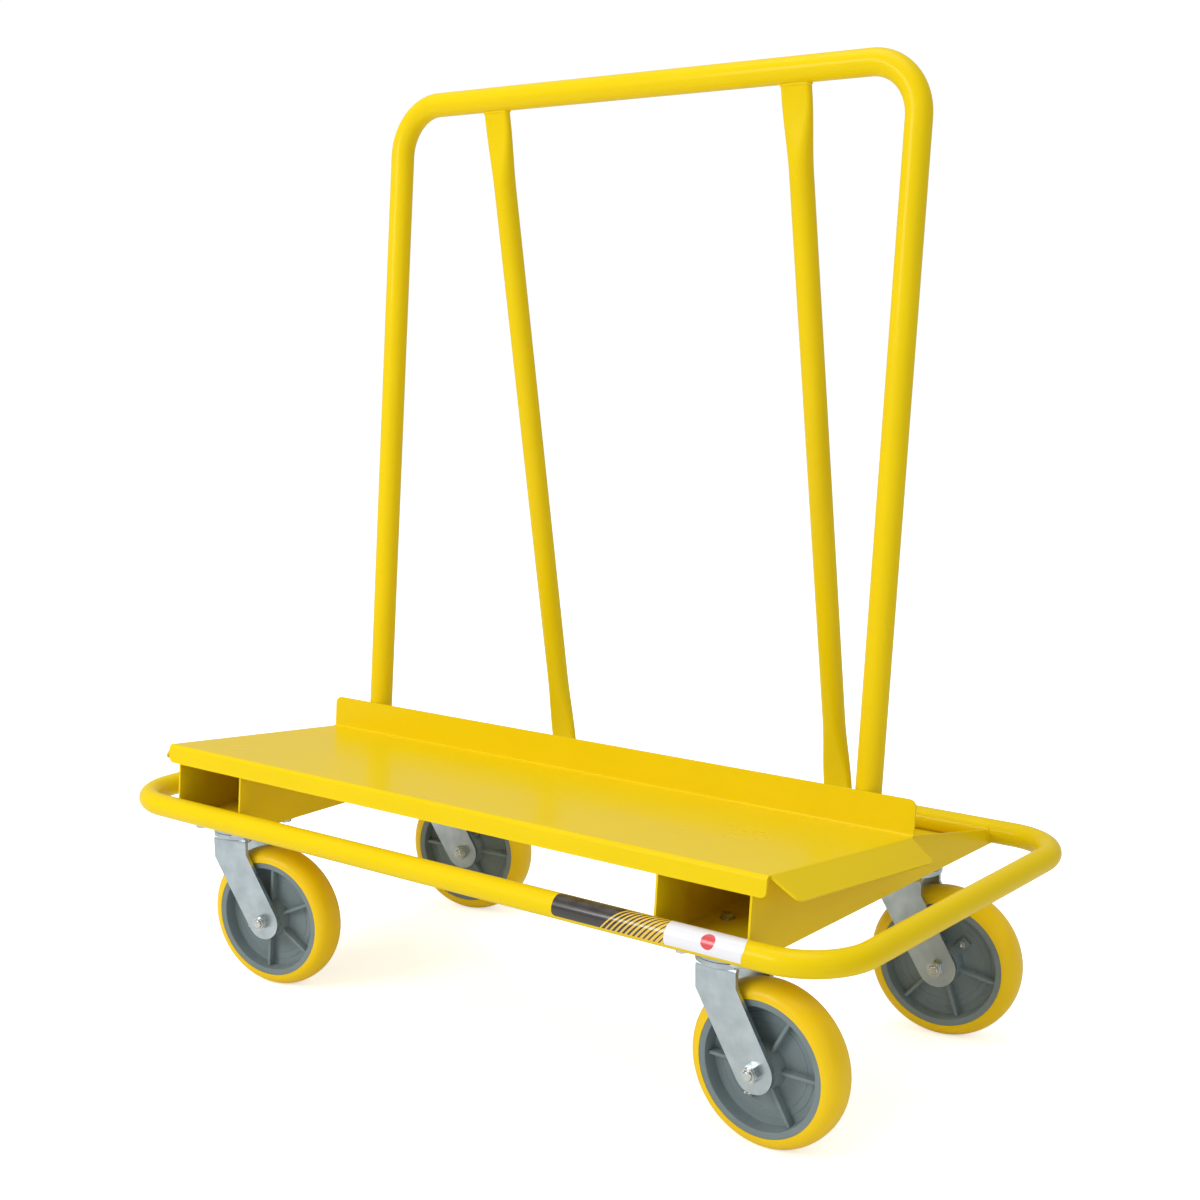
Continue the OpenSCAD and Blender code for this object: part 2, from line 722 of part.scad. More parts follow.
module roller_bearing() {
    rollers = 10;
    roller_r = 2.65;
    ring_r = bearing_r - 0.05 - roller_r;
    roller_half = 24;
    ring_from = roller_half + 0.1;
    ring_t = 3;
    color(zinc) {
        for (i = [0:rollers - 1])
            rotate([0, 0, i * 360 / rollers]) translate([ring_r, 0, -roller_half])
                bar(roller_r, 2 * roller_half);
        for (s = [-1, 1]) translate([0, 0, s > 0 ? ring_from : -ring_from - ring_t]) difference() {
            bar(bearing_r - 0.05, ring_t);
            translate([0, 0, -1]) bar(sleeve_r + 0.4, ring_t + 2);
        }
    }
}

module bearing_washers() {
    color(zinc) for (s = [-1, 1])
        translate([0, 0, s * (hub_half - washer_t / 2 + seat_gap) - washer_t / 2]) difference() {
            bar(washer_r, washer_t);
            translate([0, 0, -1]) bar(sleeve_r + 0.08, washer_t + 2);
        }
}

module grease_fitting() {
    hex_af = 8;
    hex_h = 3;
    neck_r = 2.2;
    neck_h = 3.2;
    ball_end_r = 2.7;
    ball_end_z = 7.3;
    color("gainsboro") rotate([0, 0, 360 / rib_places]) translate([grease_r, 0, boss_face + seat_gap]) {
        hexagon(hex_af, hex_h);
        translate([0, 0, hex_h]) cylinder(r = neck_r, h = neck_h);
        translate([0, 0, ball_end_z]) sphere(ball_end_r, $fn = 32);
    }
}

// ---------------------------------------------------------------- nodes

deck_plate();
caster_channel(-channel_x);  // left_caster_channel
caster_channel(channel_x);  // right_caster_channel
base_rail();
push_frame();
brace(-1);  // left_brace
brace(1);  // right_brace
caster_bolts();
caster_nuts();
striped_label();
plain_label();
for (c = CASTERS) {
    at_plate(c) top_plate();
    at_plate(c) kingpin();
    at_fork(c) swivel_balls();
    at_fork(c) fork();
    at_axle(c) axle_bolt();
    at_axle(c) axle_nut();
    at_axle(c) axle_sleeve();
    at_axle(c) wheel_core();
    at_axle(c) tread();
    at_axle(c) roller_bearing();
    at_axle(c) bearing_washers();
    at_axle(c) grease_fitting();
}
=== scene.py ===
import json
import math

import bmesh
import bpy
from mathutils import Matrix, Quaternion, Vector


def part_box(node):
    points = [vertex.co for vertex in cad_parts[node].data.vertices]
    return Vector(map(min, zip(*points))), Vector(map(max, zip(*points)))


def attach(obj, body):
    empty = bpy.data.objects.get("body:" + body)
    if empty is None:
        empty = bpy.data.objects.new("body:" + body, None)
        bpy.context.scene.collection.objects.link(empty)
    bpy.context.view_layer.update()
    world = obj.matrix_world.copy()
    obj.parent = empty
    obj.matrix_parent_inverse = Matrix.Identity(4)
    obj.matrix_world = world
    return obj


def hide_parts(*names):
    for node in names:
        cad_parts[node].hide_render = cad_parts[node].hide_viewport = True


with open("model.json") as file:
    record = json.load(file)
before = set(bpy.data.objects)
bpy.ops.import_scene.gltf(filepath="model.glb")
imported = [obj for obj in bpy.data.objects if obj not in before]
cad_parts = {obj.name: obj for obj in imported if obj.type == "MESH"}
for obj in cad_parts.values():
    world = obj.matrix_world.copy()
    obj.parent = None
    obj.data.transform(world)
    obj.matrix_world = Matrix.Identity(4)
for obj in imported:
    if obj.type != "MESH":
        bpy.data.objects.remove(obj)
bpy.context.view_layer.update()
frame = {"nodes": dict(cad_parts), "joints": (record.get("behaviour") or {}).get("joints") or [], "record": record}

# Looks of a four-caster panel cart. Metres, in the frame's own axes: +X along the cart,
# +Y to the push frame and its braces, +Z up, the floor at Z = 0.
NODES = frame["nodes"]
JOINTS = {joint["name"]: joint for joint in frame["joints"]}
CASTERS = ["front_left", "front_right", "rear_left", "rear_right"]
MM = 0.001

# ---------------------------------------------------------------- sizes of the cart

RAIL_LOW, RAIL_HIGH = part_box("base_rail")
RAIL_R = (RAIL_HIGH.z - RAIL_LOW.z) / 2
RAIL_X = RAIL_HIGH.x - RAIL_R
RAIL_Y = RAIL_HIGH.y - RAIL_R
RAIL_Z = (RAIL_HIGH.z + RAIL_LOW.z) / 2
RAIL_BEND_R = 80 * MM

PUSH_LOW, PUSH_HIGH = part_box("push_frame")
LEAN = math.radians(6)
LEG_R = 16.85 * MM
LEG_X = PUSH_HIGH.x - LEG_R
LEG_BEND_R = 70 * MM
BAR_Y = PUSH_HIGH.y - LEG_R
BAR_Z = PUSH_HIGH.z - LEG_R
FOOT_Z = PUSH_LOW.z

BRACE_X = 251 * MM                      # half the distance between the braces
BRACE_FLAT_W = 44 * MM                  # width and thickness of a brace's flattened ends
BRACE_FLAT_T = 12 * MM
BRACE_FLARE = 95 * MM                   # length over which a flat end turns round
BRACE_END = 2 * RAIL_R                  # length of the flat part
WELD_GAP = 0.05 * MM
HOLE_R = 3 * MM                         # drain and vent holes of the tubes
HOLE_DEPTH = 8 * MM
VENT_FROM_FLARE = 20 * MM

WHEEL_R = JOINTS["front_left_wheel_spin"]["pos_m"][2]
RIB_ANGLES = {"front_left": 144, "front_right": 180, "rear_left": 57, "rear_right": -12}
TREAD_HALF = 25.4 * MM
CORE_R = 83.4 * MM
CORE_FACE = 24.8 * MM                   # half width of the core's rim
WEB_HALF = 7 * MM
HUB_HALF = 30.4 * MM
BEARING_R = 15.05 * MM
HUB_BORE_R = 20.05 * MM                 # the bore's wider mouth on each side
HUB_BORE_DEPTH = 1.5 * MM
HUB_R = 24.6 * MM
WEB_START_R = 29.5 * MM
WEB_END_R = 70.0 * MM
WEB_RINGS = (53.5 * MM, 62.0 * MM)      # inner edges of the web's two raised rings
RIM_R = 76.3 * MM
BLOCK_LOW = WEB_HALF - 1 * MM           # foot of the ribs and the boss, inside the web
RIB_FACE = 18.5 * MM
RIB_W = 4.4 * MM
RIB_START = 25.4 * MM
RIB_END = 73.4 * MM
BOSS_FACE = 13 * MM
BOSS_W = 13 * MM
BOSS_START = 25.5 * MM
BOSS_END = 47 * MM

LABEL_SKIN = 0.3 * MM
LABEL_ANGLES = (-27, 98)                # edges of the labels, in degrees above level
STRIPE_PITCH = 7.2 * MM
DISC_R = 9.5 * MM
DISC_ABOVE = 9.0 * MM                   # the disc's middle above the rail's foremost line, round the rail

# ---------------------------------------------------------------- mesh helpers

SHARP = math.radians(35)
WHEEL_SIDES = 192
TUBE_SIDES = 64
HOLE_SIDES = 32
BEND_STEPS = 20
FLARE_STEPS = 14


def make_mesh(name, bm, material):
    """Turns a bmesh into a smooth mesh with sharp creases, wearing a material."""
    bmesh.ops.recalc_face_normals(bm, faces=bm.faces)
    for edge in bm.edges:
        if len(edge.link_faces) == 2 and edge.calc_face_angle(0) > SHARP:
            edge.smooth = False
    for face in bm.faces:
        face.smooth = True
    mesh = bpy.data.meshes.new(name)
    bm.to_mesh(mesh)
    bm.free()
    mesh.materials.append(material)
    return mesh


def place_piece(name, mesh, body, matrix=None):
    """Adds a piece that rides on a body; matrix sets its place where the mesh doesn't."""
    piece = bpy.data.objects.new(name, mesh)
    bpy.context.scene.collection.objects.link(piece)
    if matrix is not None:
        piece.matrix_world = matrix
    bpy.context.view_layer.update()
    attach(piece, body)
    return piece


def add_piece(name, bm, material, body):
    return place_piece(name, make_mesh(name, bm, material), body)


def skin_rings(bm, rings, closed=False):
    """Joins rings of points, all of one length, with quads, and caps the ends of an open row."""
    rows = [[bm.verts.new(point) for point in ring] for ring in rings]
    count = len(rows[0])
    pairs = list(zip(rows, rows[1:]))
    if closed:
        pairs.append((rows[-1], rows[0]))
    for a, b in pairs:
        for i in range(count):
            j = (i + 1) % count
            bm.faces.new((a[i], a[j], b[j], b[i]))
    if not closed:
        bm.faces.new(rows[0])
        bm.faces.new(list(reversed(rows[-1])))


def turns(count):
    """Angles of a full circle in equal steps, in radians."""
    return [2 * math.pi * i / count for i in range(count)]


def lathe(bm, profile):
    """Turns a closed outline of (radius, z) points round Z."""
    rings = []
    for radius, z in profile:
        rings.append([(radius * math.cos(turn), radius * math.sin(turn), z) for turn in turns(WHEEL_SIDES)])
    skin_rings(bm, rings, closed=True)


def fillet(a, b, c, radius):
    """Points and directions round a bend at b, on the way from a to c."""
    u = (a - b).normalized()
    v = (c - b).normalized()
    half = u.angle(v) / 2
    centre = b + (u + v).normalized() * radius / math.sin(half)
    start = b + u * radius / math.tan(half)
    axis = (-u).cross(v).normalized()
    bend = []
    for i in range(BEND_STEPS + 1):
        turn = Quaternion(axis, (math.pi - 2 * half) * i / BEND_STEPS)
        bend.append((centre + turn @ (start - centre), turn @ -u))
    return bend


def tube_rings(path, up, radius):
    """Round sections along a path of points and directions; up is square to the path's plane."""
    rings = []
    for point, along in path:
        side = along.cross(up).normalized()
        rings.append([
            point + radius * (math.cos(turn) * side + math.sin(turn) * up) for turn in turns(TUBE_SIDES)
        ])
    return rings


def drill(bm, holes):
    """Takes drain or vent holes out of a closed mesh; a hole is a place and a direction."""
    scene = bpy.context.scene
    blank_mesh = bpy.data.meshes.new("blank")
    bmesh.ops.recalc_face_normals(bm, faces=bm.faces)
    bm.to_mesh(blank_mesh)
    bm.free()
    blank = bpy.data.objects.new("blank", blank_mesh)
    scene.collection.objects.link(blank)
    used = [blank]
    for place, along in holes:
        cutter_bm = bmesh.new()
        turn = Vector((0, 0, 1)).rotation_difference(along).to_matrix().to_4x4()
        bmesh.ops.create_cone(
            cutter_bm, cap_ends=True, segments=HOLE_SIDES, radius1=HOLE_R, radius2=HOLE_R, depth=HOLE_DEPTH,
            matrix=Matrix.Translation(place) @ turn,
        )
        cutter_mesh = bpy.data.meshes.new("cutter")
        cutter_bm.to_mesh(cutter_mesh)
        cutter_bm.free()
        cutter = bpy.data.objects.new("cutter", cutter_mesh)
        scene.collection.objects.link(cutter)
        used.append(cutter)
        cut = blank.modifiers.new("cut", "BOOLEAN")
        cut.operation = "DIFFERENCE"
        cut.object = cutter
        cut.solver = "EXACT"
    bpy.context.view_layer.update()
    drilled = bmesh.new()
    drilled.from_object(blank, bpy.context.evaluated_depsgraph_get())
    for temporary in used:
        mesh = temporary.data
        bpy.data.objects.remove(temporary)
        bpy.data.meshes.remove(mesh)
    return drilled


# ---------------------------------------------------------------- shader helpers


def add_node(tree, kind, inputs=None, **settings):
    """Adds a shader node; an input is a socket to link from or a plain value."""
    new = tree.nodes.new(kind)
    for key, value in settings.items():
        setattr(new, key, value)
    for key, value in (inputs or {}).items():
        if isinstance(value, bpy.types.NodeSocket):
            tree.links.new(value, new.inputs[key])
        else:
            new.inputs[key].default_value = value
    return new


def shader_group(name, inputs, outputs):
    """An empty node group with named sockets; returns its tree, inputs and outputs."""
    tree = bpy.data.node_groups.new(name, "ShaderNodeTree")
    for label, kind, value in inputs:
        socket = tree.interface.new_socket(label, in_out="INPUT", socket_type=kind)
        if value is not None:
            socket.default_value = value
    for label, kind in outputs:
        tree.interface.new_socket(label, in_out="OUTPUT", socket_type=kind)
    return tree, tree.nodes.new("NodeGroupInput").outputs, tree.nodes.new("NodeGroupOutput").inputs


def place_group(tree, group, inputs):
    return add_node(tree, "ShaderNodeGroup", inputs, node_tree=group).outputs


def math_node(tree, operation, a, b=0.0, c=0.0):
    return add_node(tree, "ShaderNodeMath", {0: a, 1: b, 2: c}, operation=operation).outputs[0]


def mix_colour(tree, factor, a, b):
    mix = add_node(tree, "ShaderNodeMix", {0: factor, 6: a, 7: b}, data_type="RGBA")
    return mix.outputs[2]


FLOAT, COLOUR, VECTOR = "NodeSocketFloat", "NodeSocketColor", "NodeSocketVector"


def make_mottle():
    """Two colours in soft patches, as in a thick coat or a moulding."""
    tree, given, result = shader_group(
        "mottle",
        [("Vector", VECTOR, None), ("Scale", FLOAT, 10.0), ("Contrast", FLOAT, 1.0),
         ("Colour A", COLOUR, (1, 1, 1, 1)), ("Colour B", COLOUR, (0, 0, 0, 1))],
        [("Colour", COLOUR), ("Amount", FLOAT)],
    )
    noise = add_node(
        tree, "ShaderNodeTexNoise",
        {"Vector": given["Vector"], "Scale": given["Scale"], "Detail": 4.0, "Roughness": 0.55},
    )
    centred = math_node(tree, "SUBTRACT", noise.outputs[0], 0.5)
    spread = math_node(tree, "MULTIPLY_ADD", centred, given["Contrast"], 0.5)
    amount = add_node(tree, "ShaderNodeClamp", {0: spread}).outputs[0]
    tree.links.new(mix_colour(tree, amount, given["Colour A"], given["Colour B"]), result["Colour"])
    tree.links.new(amount, result["Amount"])
    return tree


def make_grain():
    """A height for a Bump node: a fine texture over a coarse one."""
    tree, given, result = shader_group(
        "grain",
        [("Vector", VECTOR, None), ("Fine", FLOAT, 400.0), ("Coarse", FLOAT, 40.0),
         ("Coarse Share", FLOAT, 0.3)],
        [("Height", FLOAT)],
    )
    fine = add_node(
        tree, "ShaderNodeTexNoise",
        {"Vector": given["Vector"], "Scale": given["Fine"], "Detail": 2.0, "Roughness": 0.5},
    )
    coarse = add_node(
        tree, "ShaderNodeTexNoise",
        {"Vector": given["Vector"], "Scale": given["Coarse"], "Detail": 3.0, "Roughness": 0.5},
    )
    height = math_node(tree, "MULTIPLY_ADD", coarse.outputs[0], given["Coarse Share"], fine.outputs[0])
    tree.links.new(height, result["Height"])
    return tree


def make_edge_highlight_mask():
    """1 on outer and inner edges within a radius, 0 on flats, broken up by noise; it places the painted edge
    highlight.
    """
    tree, given, result = shader_group(
        "edge_highlight_mask",
        [("Vector", VECTOR, None), ("Radius", FLOAT, 0.001), ("Reach", FLOAT, 4.0),
         ("Break Up", FLOAT, 120.0)],
        [("Mask", FLOAT)],
    )
    rounded = add_node(tree, "ShaderNodeBevel", {"Radius": given["Radius"]}, samples=4)
    true_normal = add_node(tree, "ShaderNodeNewGeometry").outputs["Normal"]
    dot = add_node(
        tree, "ShaderNodeVectorMath", {0: rounded.outputs[0], 1: true_normal}, operation="DOT_PRODUCT",
    ).outputs["Value"]
    bend = math_node(tree, "SUBTRACT", 1.0, dot)
    noise = add_node(tree, "ShaderNodeTexNoise", {"Vector": given["Vector"], "Scale": given["Break Up"]})
    reach = math_node(tree, "MULTIPLY", given["Reach"], noise.outputs[0])
    mask = math_node(tree, "MULTIPLY", bend, reach)
    tree.links.new(add_node(tree, "ShaderNodeClamp", {0: mask}).outputs[0], result["Mask"])
    return tree


def make_dust():
    """A thin film of dust on what faces up, in patches."""
    tree, given, result = shader_group(
        "dust",
        [("Vector", VECTOR, None), ("Scale", FLOAT, 14.0), ("Amount", FLOAT, 0.1)],
        [("Mask", FLOAT)],
    )
    normal = add_node(tree, "ShaderNodeNewGeometry").outputs["Normal"]
    up = add_node(tree, "ShaderNodeSeparateXYZ", {0: normal}).outputs["Z"]
    facing = add_node(tree, "ShaderNodeMapRange", {0: up, 1: 0.4, 2: 1.0, 3: 0.0, 4: 1.0}).outputs[0]
    noise = add_node(
        tree, "ShaderNodeTexNoise",
        {"Vector": given["Vector"], "Scale": given["Scale"], "Detail": 5.0, "Roughness": 0.6},
    )
    patch = add_node(
        tree, "ShaderNodeMapRange", {0: noise.outputs[0], 1: 0.4, 2: 0.75, 3: 0.0, 4: 1.0},
    ).outputs[0]
    film = math_node(tree, "MULTIPLY", facing, patch)
    tree.links.new(math_node(tree, "MULTIPLY", film, given["Amount"]), result["Mask"])
    return tree


MOTTLE, GRAIN, EDGE_HIGHLIGHT_MASK, DUST = make_mottle(), make_grain(), make_edge_highlight_mask(), make_dust()
DUST_COLOUR = (0.62, 0.60, 0.55, 1)


def new_material(name, metallic=0.0, coat=0.0, coat_roughness=0.1):
    """A Principled material; returns it with its tree, its shader's inputs and the piece's own position."""
    material = bpy.data.materials.new(name)
    material.use_nodes = True
    tree = material.node_tree
    shader = tree.nodes["Principled BSDF"].inputs
    shader["Metallic"].default_value = metallic
    shader["Coat Weight"].default_value = coat
    shader["Coat Roughness"].default_value = coat_roughness
    position = add_node(tree, "ShaderNodeTexCoord").outputs["Object"]
    return material, tree, shader, position


def paint_edge_highlight(tree, position, colour, highlight_colour, radius, reach, break_up):
    """A colour that turns into another along edges: a painted highlight on the rounded edges."""
    painted_highlight = place_group(tree, EDGE_HIGHLIGHT_MASK, {
        "Vector": position, "Radius": radius, "Reach": reach, "Break Up": break_up,
    })
    return mix_colour(tree, painted_highlight["Mask"], colour, highlight_colour)


def set_dusty_colour(tree, shader, position, colour, scale, amount):
    film = place_group(tree, DUST, {"Vector": position, "Scale": scale, "Amount": amount})
    tree.links.new(mix_colour(tree, film["Mask"], colour, DUST_COLOUR), shader["Base Color"])


def set_relief(tree, shader, position, fine, coarse, share, depth):
    """Grain as bump on the shader; returns its height."""
    height = place_group(tree, GRAIN, {
        "Vector": position, "Fine": fine, "Coarse": coarse, "Coarse Share": share,
    })["Height"]
    bump = add_node(tree, "ShaderNodeBump", {"Height": height, "Distance": depth, "Strength": 1.0})
    tree.links.new(bump.outputs[0], shader["Normal"])
    return height


def vary(tree, amount, low, high):
    """A value that runs from low to high as amount runs from 0 to 1."""
    return add_node(tree, "ShaderNodeMapRange", {0: amount, 1: 0.0, 2: 1.0, 3: low, 4: high}).outputs[0]


def powder_coat():
    material, tree, shader, position = new_material("yellow_powder_coat", coat=0.08, coat_roughness=0.08)
    patches = place_group(tree, MOTTLE, {
        "Vector": position, "Scale": 7.0, "Contrast": 1.3,
        "Colour A": (0.785, 0.565, 0.003, 1), "Colour B": (0.825, 0.600, 0.004, 1),
    })
    # painted highlight: a lighter yellow along the rounded edges of the coat
    with_highlight = paint_edge_highlight(tree, position, patches["Colour"], (0.85, 0.64, 0.010, 1), 1.5 * MM, 2.5, 60.0)
    set_dusty_colour(tree, shader, position, with_highlight, 9.0, 0.012)
    tree.links.new(vary(tree, patches["Amount"], 0.24, 0.36), shader["Roughness"])
    set_relief(tree, shader, position, 260.0, 60.0, 0.8, 0.02 * MM)
    shader["Specular IOR Level"].default_value = 0.06
    return material


def zinc(name, light, dark, rough_low, rough_high, spangle):
    material, tree, shader, position = new_material(name, metallic=1.0)
    patches = place_group(tree, MOTTLE, {
        "Vector": position, "Scale": spangle, "Contrast": 1.8, "Colour A": dark, "Colour B": light,
    })
    # painted highlight: a much lighter zinc along the edges
    with_highlight = paint_edge_highlight(tree, position, patches["Colour"], (0.86, 0.88, 0.88, 1), 0.8 * MM, 3.0, 200.0)
    set_dusty_colour(tree, shader, position, with_highlight, 30.0, 0.08)
    tree.links.new(vary(tree, patches["Amount"], rough_high, rough_low), shader["Roughness"])
    set_relief(tree, shader, position, 900.0, 90.0, 1.5, 0.02 * MM)
    return material


def moulded_core():
    material, tree, shader, position = new_material("grey_moulded_core")
    flow = place_group(tree, MOTTLE, {
        "Vector": position, "Scale": 22.0, "Contrast": 1.4,
        "Colour A": (0.150, 0.195, 0.205, 1), "Colour B": (0.185, 0.235, 0.245, 1),
    })
    # painted highlight: a much lighter grey along the core's edges and ribs
    with_highlight = paint_edge_highlight(tree, position, flow["Colour"], (0.34, 0.40, 0.42, 1), 0.7 * MM, 2.5, 90.0)
    set_dusty_colour(tree, shader, position, with_highlight, 40.0, 0.12)
    tree.links.new(vary(tree, flow["Amount"], 0.38, 0.5), shader["Roughness"])
    set_relief(tree, shader, position, 1400.0, 120.0, 0.6, 0.03 * MM)
    return material


def polyurethane():
    material, tree, shader, position = new_material("yellow_polyurethane", coat=0.06, coat_roughness=0.15)
    cast = place_group(tree, MOTTLE, {
        "Vector": position, "Scale": 16.0, "Contrast": 1.2,
        "Colour A": (0.86, 0.560, 0.005, 1), "Colour B": (0.90, 0.605, 0.007, 1),
    })
    set_dusty_colour(tree, shader, position, cast["Colour"], 26.0, 0.015)
    tree.links.new(vary(tree, cast["Amount"], 0.30, 0.42), shader["Roughness"])
    set_relief(tree, shader, position, 700.0, 50.0, 1.0, 0.03 * MM)
    shader["Specular IOR Level"].default_value = 0.16
    return material


def label_position(tree, position):
    """Distance along the rail and distance round it from its foremost line, in metres."""
    split = add_node(tree, "ShaderNodeSeparateXYZ", {0: position}).outputs
    forward = math_node(tree, "MULTIPLY_ADD", split["Y"], -1.0, -RAIL_Y)
    up = math_node(tree, "SUBTRACT", split["Z"], RAIL_Z)
    angle = math_node(tree, "ARCTAN2", up, forward)
    return split["X"], math_node(tree, "MULTIPLY", angle, RAIL_R)


def finish_label(tree, shader, position, colour):
    set_dusty_colour(tree, shader, position, colour, 60.0, 0.10)
    height = set_relief(tree, shader, position, 1500.0, 120.0, 1.0, 0.01 * MM)
    tree.links.new(vary(tree, height, 0.26, 0.32), shader["Roughness"])


def striped_vinyl():
    """Black with slanted yellow stripes that widen towards the right end."""
    material, tree, shader, position = new_material("striped_vinyl", coat=0.4, coat_roughness=0.08)
    low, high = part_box("striped_label")
    along, round_rail = label_position(tree, position)
    slant = math_node(tree, "SUBTRACT", along, round_rail)
    stripe = math_node(tree, "FRACT", math_node(tree, "DIVIDE", slant, STRIPE_PITCH))
    widen_from = low.x + 0.40 * (high.x - low.x)
    share = add_node(
        tree, "ShaderNodeMapRange", {0: along, 1: widen_from, 2: high.x, 3: 0.30, 4: 0.70},
    ).outputs[0]
    on_stripe = math_node(tree, "LESS_THAN", stripe, share)
    in_zone = math_node(tree, "GREATER_THAN", slant, low.x + 0.46 * (high.x - low.x))
    yellow = math_node(tree, "MULTIPLY", on_stripe, in_zone)
    colour = mix_colour(tree, yellow, (0.022, 0.018, 0.016, 1), (0.78, 0.50, 0.05, 1))
    finish_label(tree, shader, position, colour)
    return material


def plain_vinyl():
    """White with a plain red disc."""
    material, tree, shader, position = new_material("plain_vinyl", coat=0.4, coat_roughness=0.08)
    low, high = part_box("plain_label")
    along, round_rail = label_position(tree, position)
    across = math_node(tree, "SUBTRACT", along, low.x + 0.55 * (high.x - low.x))
    above = math_node(tree, "SUBTRACT", round_rail, DISC_ABOVE)
    across_squared = math_node(tree, "POWER", across, 2.0)
    above_squared = math_node(tree, "POWER", above, 2.0)
    radius = math_node(tree, "SQRT", math_node(tree, "ADD", across_squared, above_squared))
    disc = math_node(tree, "LESS_THAN", radius, DISC_R)
    colour = mix_colour(tree, disc, (0.80, 0.80, 0.83, 1), (0.68, 0.06, 0.07, 1))
    finish_label(tree, shader, position, colour)
    return material


MATERIALS = {
    "yellow_paint": powder_coat(),
    "zinc_plate": zinc("zinc_plate", (0.50, 0.57, 0.60, 1), (0.36, 0.42, 0.45, 1), 0.26, 0.40, 45.0),
    "zinc_bolts": zinc("zinc_bolts", (0.62, 0.65, 0.64, 1), (0.44, 0.47, 0.46, 1), 0.20, 0.34, 160.0),
    "bearing_steel": zinc("bearing_steel", (0.70, 0.70, 0.70, 1), (0.55, 0.55, 0.56, 1), 0.14, 0.26, 120.0),
    "grey_core": moulded_core(),
    "yellow_tread": polyurethane(),
    "striped_label": striped_vinyl(),
    "plain_label": plain_vinyl(),
}

# ---------------------------------------------------------------- carried-over nodes


def dress_node(name, slot, edge):
    """Gives a CAD node its material and, where edge is set, softly rounded edges."""
    node = NODES[name]
    node.data.materials.clear()
    node.data.materials.append(MATERIALS[slot])
    if edge:
        weld = node.modifiers.new("weld", "WELD")
        weld.merge_threshold = 0.002 * MM
        flat = node.modifiers.new("flats", "DECIMATE")
        flat.decimate_type = "DISSOLVE"
        flat.angle_limit = math.radians(0.5)
        bevel = node.modifiers.new("edges", "BEVEL")
        bevel.width = edge
        bevel.segments = 2
        bevel.limit_method = "ANGLE"
        bevel.angle_limit = SHARP
        shade = node.modifiers.new("shade", "WEIGHTED_NORMAL")
        shade.keep_sharp = False
        shade.weight = 80


SLOTS = {part["node"]: part["material_slot"] for part in frame["record"]["subparts"]}
EDGES = {
    "deck_plate": 0.9 * MM,
    "left_caster_channel": 0.8 * MM,
    "right_caster_channel": 0.8 * MM,
    "caster_bolts": 0.5 * MM,
    "caster_nuts": 0.5 * MM,
    "top_plate": 1.0 * MM,
    "fork": 1.2 * MM,
    "axle_nut": 0.5 * MM,
    "axle_bolt": 0.5 * MM,
    "kingpin": 0.5 * MM,
}
for node_name, slot_name in SLOTS.items():
    piece_name = node_name
    for caster_name in CASTERS:
        piece_name = piece_name.replace(caster_name + "_", "")
    dress_node(node_name, slot_name, EDGES.get(piece_name, 0.0))

# ---------------------------------------------------------------- tubes


def build_rail():
    """The rail's closed loop of tube, with its two drain holes underneath."""
    corners = [Vector((x * RAIL_X, y * RAIL_Y, RAIL_Z)) for x, y in ((-1, -1), (1, -1), (1, 1), (-1, 1))]
    path = []
    for i, corner in enumerate(corners):
        path += fillet(corners[i - 1], corner, corners[(i + 1) % 4], RAIL_BEND_R)
    bm = bmesh.new()
    skin_rings(bm, tube_rings(path, Vector((0, 0, 1)), RAIL_R), closed=True)
    holes = [(Vector((0, side * RAIL_Y, RAIL_Z - RAIL_R)), Vector((0, 0, 1))) for side in (-1, 1)]
    piece = add_piece("rail_tube", drill(bm, holes), MATERIALS["yellow_paint"], "frame")
    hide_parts("base_rail")


LEG_UP = Vector((0, math.sin(LEAN), math.cos(LEAN)))
FOOT_Y = BAR_Y - (BAR_Z - FOOT_Z) * math.tan(LEAN)


def build_push_frame():
    """The inverted U: two leaning legs, cut level at the feet, and the top bar."""
    feet = [Vector((side * LEG_X, FOOT_Y, FOOT_Z)) for side in (-1, 1)]
    tops = [Vector((side * LEG_X, BAR_Y, BAR_Z)) for side in (-1, 1)]
    path = [(feet[0], LEG_UP)]
    path += fillet(feet[0], tops[0], tops[1], LEG_BEND_R)
    path += fillet(tops[0], tops[1], feet[1], LEG_BEND_R)
    path.append((feet[1], -LEG_UP))
    rings = tube_rings(path, Vector((0, -math.cos(LEAN), math.sin(LEAN))), LEG_R)
    for ring in (rings[0], rings[-1]):
        for i, point in enumerate(ring):
            ring[i] = point + LEG_UP * ((FOOT_Z - point.z) / LEG_UP.z)
    bm = bmesh.new()
    skin_rings(bm, rings)
    piece = add_piece("push_tube", bm, MATERIALS["yellow_paint"], "frame")
    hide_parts("push_frame")


BRACE_RISE = BAR_Z - RAIL_Z
BRACE_RUN = RAIL_Y - BAR_Y
BRACE_L = math.hypot(BRACE_RISE, BRACE_RUN)
BRACE_UP = Vector((0, -BRACE_RUN, BRACE_RISE)).normalized()
BRACE_BACK = Vector((0, BRACE_RISE, BRACE_RUN)).normalized()


def brace_section(share, count=16):
    """Half gap and radius blend from a flat end, share 0, to the round tube, share 1."""
    eased = share * share * (3 - 2 * share)
    radius = BRACE_FLAT_T / 2 + (RAIL_R - BRACE_FLAT_T / 2) * eased
    gap = (BRACE_FLAT_W - BRACE_FLAT_T) / 2 * (1 - eased)
    points = []
    for half in (0, 1):
        for i in range(count + 1):
            angle = math.pi * (half - 0.5 + i / count)
            shift = gap if half == 0 else -gap
            points.append((shift + radius * math.cos(angle), radius * math.sin(angle)))
    return points


